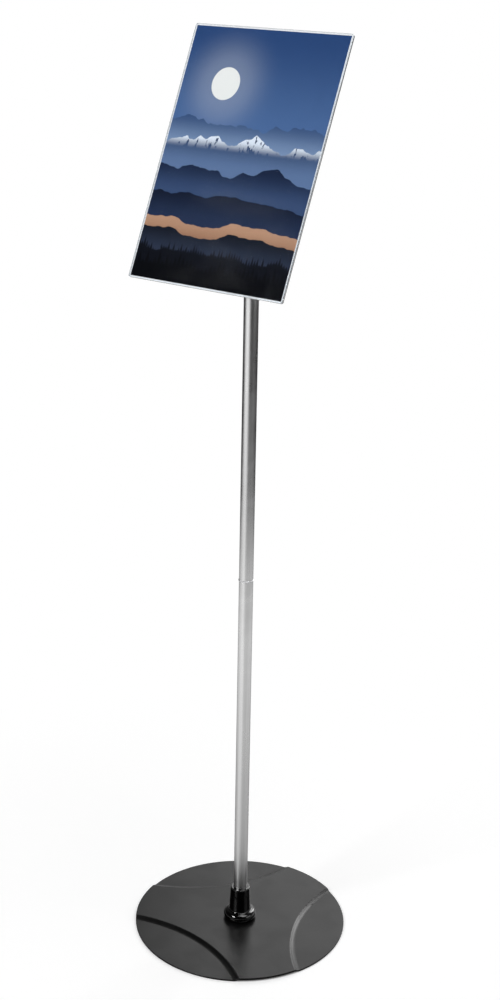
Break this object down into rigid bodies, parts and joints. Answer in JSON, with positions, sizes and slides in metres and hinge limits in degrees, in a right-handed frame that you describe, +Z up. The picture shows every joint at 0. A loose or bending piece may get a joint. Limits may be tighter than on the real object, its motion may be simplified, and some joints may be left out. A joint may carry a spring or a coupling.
{
  "type": "poster stand",
  "caption": "Floor poster stand with a round pressed base, a two-piece pole and a clear A3 pocket on a tilting, swivelling head with a clamp knob.",
  "frame": {"origin": "on the floor, below the pole's axis at the centre of the round base", "axes": "+Z up along the pole, -Y the way the poster faces, +X towards the clamp knob"},
  "size_m": [0.39, 0.39, 1.6141],
  "materials": {
    "base_plate": "satin black powder coat",
    "base_washer": "zinc-plated steel",
    "base_bolt": "zinc-plated steel",
    "base_collar": "glossy black moulded plastic",
    "lower_tube": "satin silver anodised",
    "lower_tube_plug": "turned",
    "joint_socket": "turned",
    "joint_ring": "bright turned",
    "joint_stud": "turned",
    "upper_tube": "satin silver anodised",
    "tilt_fork": "fine-textured black powder coat on a zinc casting",
    "fork_grub_screw": "black oxide steel",
    "pivot_bolt": "zinc-plated steel",
    "friction_washers": "natural nylon",
    "knob_washer": "zinc-plated steel",
    "clamp_knob": "fine-grained black moulded plastic",
    "knob_insert": "turned brass",
    "tilt_arm": "fine-textured black powder coat on a zinc casting",
    "swivel_disc": "natural nylon",
    "pocket_plate": "fine-textured black powder coat",
    "swivel_stop_pin": "ground steel",
    "swivel_spindle": "zinc-plated steel",
    "spindle_spring_washer": "spring steel",
    "spindle_nut": "zinc-plated steel",
    "pocket_screws": "stainless steel",
    "pocket_sheet": "clear acrylic, polished edges",
    "pocket_strip": "clear acrylic",
    "poster_sheet": "coated paper with a printed landscape",
    "foot_pads": "black rubber"
  },
  "bodies": {
    "stand": {"base_plate": "base_plate", "foot_pad_front": "foot_pads", "foot_pad_right": "foot_pads", "foot_pad_back": "foot_pads", "base_bolt": "base_bolt", "base_washer": "base_washer", "base_collar": "base_collar", "lower_tube": "lower_tube", "lower_tube_plug": "lower_tube_plug", "joint_socket": "joint_socket", "joint_ring": "joint_ring", "joint_stud": "joint_stud", "upper_tube": "upper_tube", "tilt_fork": "tilt_fork", "fork_grub_screw": "fork_grub_screw", "pivot_bolt": "pivot_bolt", "friction_washers": "friction_washers", "knob_washer": "knob_washer"},
    "knob": {"clamp_knob": "clamp_knob", "knob_insert": "knob_insert"},
    "tilt_head": {"tilt_arm": "tilt_arm", "swivel_disc": "swivel_disc"},
    "pocket": {"pocket_plate": "pocket_plate", "swivel_stop_pin": "swivel_stop_pin", "swivel_spindle": "swivel_spindle", "spindle_spring_washer": "spindle_spring_washer", "spindle_nut": "spindle_nut", "pocket_screws": "pocket_screws", "pocket_back_sheet": "pocket_sheet", "pocket_front_sheet": "pocket_sheet", "pocket_left_strip": "pocket_strip", "pocket_right_strip": "pocket_strip", "pocket_bottom_strip": "pocket_strip"},
    "poster": {"poster_sheet": "poster_sheet"}
  },
  "joints": [
    {"name": "tilt", "type": "hinge", "parent": "stand", "child": "tilt_head", "pos_m": [0, 0, 1.4], "axis": [-1, 0, 0], "range_deg": [-24.4, 65.6]},
    {"name": "knob_turn", "type": "hinge", "parent": "stand", "child": "knob", "pos_m": [0, 0, 1.4], "axis": [1, 0, 0], "range_deg": [0, 360]},
    {"name": "swivel", "type": "hinge", "parent": "tilt_head", "child": "pocket", "pos_m": [0, 0, 1.4], "axis": [0, -0.9107, 0.4131], "range_deg": [0, 90]},
    {"name": "poster_slide", "type": "slide", "parent": "pocket", "child": "poster", "axis": [0, 0.4131, 0.9107], "range_m": [0, 0.43]}
  ]
}
